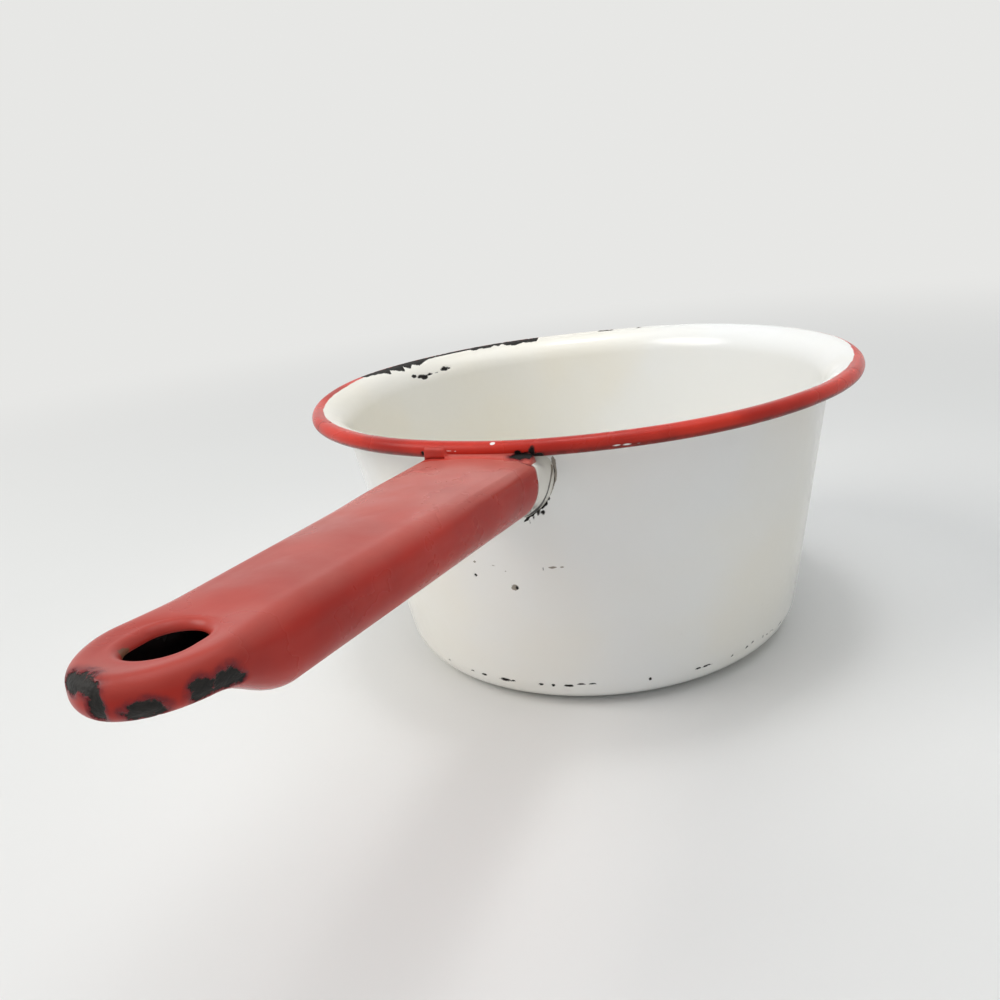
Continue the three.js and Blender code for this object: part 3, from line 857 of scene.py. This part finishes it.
def shell_skin(line, out, inset):
    """Rows from the top's middle over shoulder, side and belly to the seam, then the hole's rolled lip."""
    x = line[:, 0]
    depth, shoulder, belly = handle_depth(x), shoulder_radius(x), belly_radius(x)
    crease = (1 - smoothstep(x, CREASE_FADE_START, CREASE_FADE_END)) * (inset == 0)
    rows = []

    def add(inwards, z):
        rows.append(np.column_stack([line - out * np.reshape(inwards, (-1, 1)), z]))

    top_loop = inner_loop(line, HOLE_LIP_RADIUS, np.zeros(len(x)))
    edge = line - out * shoulder[:, None]
    for share in np.linspace(0, 1, 13)[:-1]:
        plan = lerp(top_loop, edge, share)
        rows.append(np.column_stack([plan, crown_height(plan[:, 0]) * (1 - share ** 2) ** 2 - inset]))
    for share in np.linspace(0, 1, 13):
        inwards, down = shoulder_curve(share, crease)
        add(inset + (shoulder - inset) * inwards, -inset - (shoulder - inset) * down)
    for share in np.linspace(0, 1, 7)[1:-1]:
        add(np.full(len(x), inset), -lerp(shoulder, depth - belly, share))
    bend = belly - inset
    for turn in np.linspace(0, math.pi / 2, 13):
        add(inset + bend * (1 - math.cos(turn)), inset - depth + bend * (1 - math.sin(turn)))
    half_slit = SEAM_WIDTH / 2 * np.clip((heel - x) / SEAM_WIDTH, 0, 1)
    under_loop = inner_loop(line, 0.0, half_slit)
    edge = line - out * belly[:, None]
    for share in np.linspace(0, 1, 9)[1:]:
        plan = lerp(edge, under_loop, share)
        rows.append(np.column_stack([plan, inset - handle_depth(plan[:, 0])]))

    first, last, shares = hole_shares(line)
    round_radius = HOLE_LIP_RADIUS - inset
    lip = []
    for turn in np.linspace(0, math.pi / 2, 9)[1:]:
        grow = HOLE_LIP_RADIUS - round_radius * math.sin(turn)
        z = -NOSE_DISH - HOLE_LIP_RADIUS + round_radius * math.cos(turn)
        lip.append([(*hole_point(share, grow), z) for share in shares])
    return np.array(rows), np.array(lip)


def shell_faces(row_count, column_count, first, last, lip_count):
    faces = grid_faces(row_count, column_count, False)
    before = list(range(first, last + 1))
    for ring in range(lip_count):
        start = row_count * column_count + ring * len(before)
        now = list(range(start, start + len(before)))
        for i in range(len(now) - 1):
            faces.append((now[i], now[i + 1], before[i + 1], before[i]))
        before = now
    return faces


def block_field(points, chips):
    """A paint field of spots given by their middle and half sizes."""
    best = np.zeros(len(points))
    for chip in chips:
        best = np.maximum(best, spot(np.linalg.norm((points - chip[:3]) / chip[3:], axis=1)))
    return best


def top_sheen(x, z):
    """Painted sheen on the handle's top, which also stands for its rubbing wear: strongest near the root.
    """
    return smoothstep(z, -3.5, -0.3) * lerp(1, 0.35, np.clip(x / nose_start, 0, 1))


def make_shell(material):
    line, out = handle_outline(*OUTLINE_STEPS)
    rows, lip = shell_skin(line, out, 0.0)
    first, last, _ = hole_shares(line)
    faces = shell_faces(len(rows), len(line), first, last, len(lip))
    outer = np.concatenate([rows.reshape(-1, 3), lip.reshape(-1, 3)])
    rows, lip = shell_skin(line, out, SHEET)
    inner = np.concatenate([rows.reshape(-1, 3), lip.reshape(-1, 3)])
    chip = block_field(outer, HANDLE_CHIPS)
    chip = frayed(chip, outer, wavelength=3.2, amount=0.13, seed=11)
    nothing = np.zeros(len(inner))
    fields = {
        "chip": np.concatenate([chip, nothing]),
        "stain": np.concatenate([block_field(outer, HANDLE_STAINS), nothing]),
        "inside": np.concatenate([nothing, nothing + 1]),
        # Painted sheen on the handle's top, with its rubbing wear
        "sheen_and_wear": np.concatenate([top_sheen(outer[:, 0], outer[:, 2]), nothing]),
    }
    points = from_handle(np.concatenate([outer, inner]))
    faces = sheet_faces(outer, faces)
    return new_piece("handle", points, faces, "handle_shell", material, fields)


# Collar
COLLAR_ROWS = 30
COLLAR_STEPS = 20
COLLAR_GAP = 0.2  # to the shell and to the bead
COLLAR_INTO_WALL = 0.3
COLLAR_FAR = -30.0  # the far end of the search for the wall, inside it
HALVINGS = 36


def collar_section(x, inset):
    """The shell's section at its root, deeper and rounder towards the wall; x runs back from 0."""
    run = RIM_OVERHANG + ROOT_STANDOFF + 2 * FOOT_DEPTH * math.tan(wall_tilt)
    spread = np.clip(-x / run, 0, 1)
    half = lerp(handle_half_width(0.0), FOOT_WIDTH / 2, spread)
    depth = lerp(ROOT_DEPTH, FOOT_DEPTH, spread ** 2)
    top = shoulder_radius(0.0)
    bottom = min(lerp(belly_radius(0.0), FOOT_BELLY_RADIUS, spread), half, depth - top)
    crease = (1 - smoothstep(spread, 0.1, 0.5)) * (inset == 0)
    right = []
    for share in np.linspace(0, 1, COLLAR_STEPS + 1):
        inwards, down = shoulder_curve(share, crease)
        right.append((half - inset - (top - inset) * inwards, -inset - (top - inset) * down))
    lower = arc((half - bottom, bottom - depth), bottom - inset, 0, -math.pi / 2, 2 * COLLAR_STEPS)
    ring = np.concatenate([right, lower])
    return np.concatenate([ring, ring[::-1] * np.array([-1, 1])])


def collar_reach(index):
    """How far back a strip of the collar runs before it meets the wall."""
    near, far = 0.0, COLLAR_FAR
    for _ in range(HALVINGS):
        middle = (near + far) / 2
        x, y, z = from_handle((middle, *collar_section(middle, 0.0)[index]))
        if math.hypot(x, y) > outer_wall_radius(z) - COLLAR_INTO_WALL:
            near = middle
        else:
            far = middle
    return near


def collar_skin(reaches, inset):
    grid = np.zeros((COLLAR_ROWS + 1, len(reaches), 3))
    for index, reach in enumerate(reaches):
        for row in range(COLLAR_ROWS + 1):
            x = lerp(-COLLAR_GAP, reach, (row / COLLAR_ROWS) ** 0.7)
            grid[row, index] = (x, *collar_section(x, inset)[index])
    grid = from_handle(grid)
    away = np.hypot(grid[..., 0], grid[..., 1]) - bead_centre[0]
    under_bead = bead_centre[1] - np.sqrt(np.clip((BEAD_RADIUS + COLLAR_GAP) ** 2 - away ** 2, 0, None))
    grid[..., 2] = np.minimum(grid[..., 2], under_bead - inset)
    return grid.reshape(-1, 3)


def make_collar(material):
    reaches = [collar_reach(index) for index in range(len(collar_section(0.0, 0.0)))]
    outer = collar_skin(reaches, 0.0)
    inner = collar_skin(reaches, SHEET)
    faces = grid_faces(COLLAR_ROWS + 1, len(reaches), True)
    row = np.repeat(np.arange(COLLAR_ROWS + 1), len(reaches)) / COLLAR_ROWS
    chipped_side = outer[:, 1] > 0
    crack, crack_width = crack_fields(outer[:, 0], outer[:, 2], COLLAR_CRACK, COLLAR_CRACK_WIDTHS)
    crack_width = crack_width * chipped_side
    smear = path_field(outer[:, 0], outer[:, 2], COLLAR_CRACK, COLLAR_SMEAR_WIDTHS) * chipped_side
    nothing = np.zeros(len(inner))
    fields = {
        "chip": np.concatenate([nothing, nothing]),
        "crack": np.concatenate([crack, nothing]),
        "crack_width": np.concatenate([crack_width, nothing]),
        "stain": np.concatenate([np.maximum(smear, 0.5 * smoothstep(row, 0.88, 1.0)), nothing]),
        # Painted shade: the collar sits in shade under the bead, so it is made creamier and greyer all over
        "shade_cream": np.concatenate([nothing + 0.7, nothing]),
        "cooked_and_shade": np.concatenate([nothing + 0.4, nothing]),
    }
    points = np.concatenate([outer, inner])
    faces = sheet_faces(outer, faces)
    return new_piece("collar", points, faces, "handle_collar", material, fields)


# Weld
WELD_STATIONS = 132
WELD_STEPS = 12
WELD_END_RUN = 0.55


def handle_top(y):
    """How far the handle's top lies above its shoulders, across its root."""
    half, round_radius = handle_half_width(0.0), shoulder_radius(0.0)
    flat = half - round_radius
    crown = CROWN * (1 - np.clip(abs(y) / flat, 0, 1) ** 2) ** 2
    inwards = np.clip(half - abs(y), 0, round_radius) / round_radius
    return crown - round_radius * np.interp(inwards, CREASE_INWARDS[::-1], CREASE_DOWN[::-1])


def weld_ring(y):
    """The weld's section as radius and height: down its face, out to its toe and back inside."""
    into_tab = smoothstep(y, TAB_SPAN[0] - 0.3, TAB_SPAN[0] + 0.3)
    out_of_tab = smoothstep(y, TAB_SPAN[1] - 0.7, TAB_SPAN[1] + 0.9)
    tab = into_tab * (1 - out_of_tab)
    top = handle_origin[2] + handle_top(y)
    head_angle = lerp(FILLET_HEAD, TAB_HEAD, tab)
    head = bead_centre + (BEAD_RADIUS + 0.02) * np.array([math.cos(head_angle), math.sin(head_angle)])
    share = np.linspace(0, 1, WELD_STEPS + 1)[:, None]
    toe = np.array([math.hypot(handle_origin[0] + FILLET_OVER_SHELL, y), top - 0.05])
    bend = np.array([RIM_RADIUS + 0.1, top + 0.15])
    hollow = head * (1 - share) ** 2 + 2 * bend * share * (1 - share) + toe * share ** 2
    brow = np.array([RIM_RADIUS + TAB_PROUD, lerp(top, head[1], 0.75)])
    chin = np.array([RIM_RADIUS + TAB_PROUD + 0.15, top + 0.4])
    notch = np.array([RIM_RADIUS - 0.1, top + 0.12])
    face = np.concatenate([
        straight(head, brow, 3),
        straight(brow, chin, 4)[1:],
        straight(chin, notch, 2)[1:],
        straight(notch, toe, 3)[1:],
    ])
    curve = lerp(hollow, face, smoothstep(tab, 0.25, 0.75))
    inner = bead_centre[0] + 1.0
    hidden = np.array([[toe[0], top - 0.8], [inner, top - 0.8], [inner, head[1] - 0.6]])
    return np.concatenate([curve, hidden])


def make_weld(material):
    start, end = WELD_SPAN
    rings = []
    for y in np.linspace(start, end, WELD_STATIONS):
        ring = weld_ring(y)
        core = np.array([RIM_RADIUS - 1.4, handle_origin[2] + handle_top(y) - 0.3])
        fade = min(1.0, 0.03 + min(y - start, end - y) / WELD_END_RUN)
        ring = core + (ring - core) * fade
        turn = math.asin(y / RIM_RADIUS)
        radius, height = ring.T
        rings.append(np.column_stack([radius * math.cos(turn), radius * math.sin(turn), height]))
    points = np.concatenate(rings)
    faces = capped_faces(len(rings), len(rings[0]))
    chip = flat_field(points[:, 1], points[:, 2], LOBE_CHIPS_AND_SHADE)
    chip = frayed(chip, points, wavelength=2.2, amount=0.15, seed=23)
    nothing = np.zeros(len(points))
    beside_tab = smoothstep(points[:, 1], TAB_SPAN[1] - 0.5, TAB_SPAN[1] + 2.5)
    # Painted sheen on the weld, with wear, strongest on the fillet right of the tab
    fields = {"chip": chip, "stain": nothing, "sheen_and_wear": 0.15 + 0.5 * beside_tab}
    return new_piece("weld", points, faces, "rim_weld", material, fields)


make_bowl(enamel("bowl_enamel", bowl_coat, GROUND_COAT, WHITE_FRINGE_START))
make_shell(enamel("handle_enamel", handle_coat, MAROON, RED_FRINGE_START))
make_collar(enamel("collar_enamel", white_coat, GROUND_COAT, WHITE_FRINGE_START))
make_weld(enamel("weld_enamel", rim_coat, MAROON, RED_FRINGE_START))


# Studio, in metres
BACKDROP = (0.80, 0.80, 0.785, 1)
FADE_START = 0.30
FADE_END = 0.95
FLOOR_RADIUS = 6.0
FLOOR_PAINTS = ((0.79, 0.79, 0.77, 1), (0.81, 0.81, 0.795, 1))
FLOOR_ROUGHNESS = 0.6
WORLD_TINT = (0.94, 0.97, 1.0, 1)
WORLD_STRENGTH = 0.38
PAN_MIDDLE = (0.0, 0.0, 0.05)


def seen_directly(tree):
    """1 for rays that show the background itself: from the camera, in gloss and through glass."""
    path = tree.nodes.new("ShaderNodeLightPath")
    seen = path.outputs["Is Camera Ray"]
    for kind in ("Is Glossy Ray", "Is Transmission Ray"):
        either = tree.nodes.new("ShaderNodeMath")
        either.operation = "MAXIMUM"
        tree.links.new(seen, either.inputs[0])
        tree.links.new(path.outputs[kind], either.inputs[1])
        seen = either.outputs[0]
    return seen


def make_floor():
    """A pale floor that takes the shadow round the pan and runs out into the backdrop's colour."""
    mesh = bpy.data.meshes.new("floor")
    shape = bmesh.new()
    bmesh.ops.create_circle(shape, cap_ends=True, segments=96, radius=FLOOR_RADIUS)
    shape.to_mesh(mesh)
    shape.free()
    finish = Finish("floor_paint")
    tree = finish.tree
    finish.set(finish.mix(finish.noise(6, 3.0), *FLOOR_PAINTS), "Base Color")
    finish.set(FLOOR_ROUGHNESS, "Roughness")
    distance = tree.nodes.new("ShaderNodeVectorMath")
    distance.operation = "LENGTH"
    finish.plug(finish.place, distance.inputs[0])
    fade = finish.ramp(distance.outputs["Value"], FADE_START, FADE_END)
    backdrop = tree.nodes.new("ShaderNodeEmission")
    backdrop.inputs["Color"].default_value = BACKDROP
    blend = tree.nodes.new("ShaderNodeMixShader")
    finish.plug(finish.math("MULTIPLY", fade, seen_directly(tree)), blend.inputs["Fac"])
    finish.plug(finish.surface.outputs[0], blend.inputs[1])
    finish.plug(backdrop.outputs[0], blend.inputs[2])
    finish.plug(blend.outputs[0], tree.nodes["Material Output"].inputs["Surface"])
    mesh.materials.append(finish.material)
    floor = bpy.data.objects.new("floor", mesh)
    bpy.context.scene.collection.objects.link(floor)


def make_lamp(name, place, aim, size, power, colour, spread=180):
    data = bpy.data.lights.new(name, "AREA")
    data.shape = "DISK"
    data.size = size
    data.energy = power
    data.color = colour
    data.spread = math.radians(spread)
    lamp = bpy.data.objects.new(name, data)
    lamp.location = place
    lamp.rotation_euler = (Vector(aim) - Vector(place)).to_track_quat("-Z", "Y").to_euler()
    bpy.context.scene.collection.objects.link(lamp)


def make_world():
    world = bpy.data.worlds.new("studio")
    world.use_nodes = True
    bpy.context.scene.world = world
    tree = world.node_tree
    tree.nodes.clear()
    light = tree.nodes.new("ShaderNodeBackground")
    light.inputs["Color"].default_value = WORLD_TINT
    light.inputs["Strength"].default_value = WORLD_STRENGTH
    seen = tree.nodes.new("ShaderNodeBackground")
    seen.inputs["Color"].default_value = BACKDROP
    mix = tree.nodes.new("ShaderNodeMixShader")
    tree.links.new(seen_directly(tree), mix.inputs["Fac"])
    tree.links.new(light.outputs[0], mix.inputs[1])
    tree.links.new(seen.outputs[0], mix.inputs[2])
    output = tree.nodes.new("ShaderNodeOutputWorld")
    tree.links.new(mix.outputs[0], output.inputs["Surface"])


def make_camera():
    """The photograph's view: distance, height and turn found from the rim, wall and handle outlines."""
    bearing, reach, height = math.radians(18.547), 0.31287, 0.14921
    yaw, pitch, roll = -0.1034, 0.3140, -0.1242
    data = bpy.data.cameras.new("camera")
    data.sensor_width = 36.0
    data.lens = 33.12
    data.clip_start = 0.01
    heading = bearing + math.pi - yaw
    level = math.cos(pitch)
    forward = Vector((math.cos(heading) * level, math.sin(heading) * level, -math.sin(pitch)))
    right = forward.cross(Vector((0, 0, 1))).normalized()
    up = right.cross(forward)
    side = right * math.cos(roll) + up * math.sin(roll)
    head = up * math.cos(roll) - right * math.sin(roll)
    camera = bpy.data.objects.new("camera", data)
    turn = Matrix((side, head, -forward)).transposed().to_4x4()
    place = Matrix.Translation((reach * math.cos(bearing), reach * math.sin(bearing), height))
    camera.matrix_world = place @ turn
    bpy.context.scene.collection.objects.link(camera)
    bpy.context.scene.camera = camera


make_floor()
make_lamp("key", place=(0.65, -0.9, 1.05), aim=PAN_MIDDLE, size=0.9, power=9.5, colour=(1.0, 0.975, 0.94))
make_lamp("sky", place=(0.0, 0.2, 1.5), aim=PAN_MIDDLE, size=1.6, power=9.6, colour=(0.96, 0.98, 1.0))
make_lamp("fill", place=(1.1, 0.8, 0.6), aim=PAN_MIDDLE, size=1.0, power=0.6, colour=(0.95, 0.97, 1.0))
make_lamp("well", place=(0.0, 0.0, 0.9), aim=(0.0, 0.0, 0.0), size=0.3, power=0.045,
          colour=(0.97, 0.98, 1.0), spread=24)
make_world()
make_camera()
bpy.context.scene.view_settings.view_transform = "Standard"
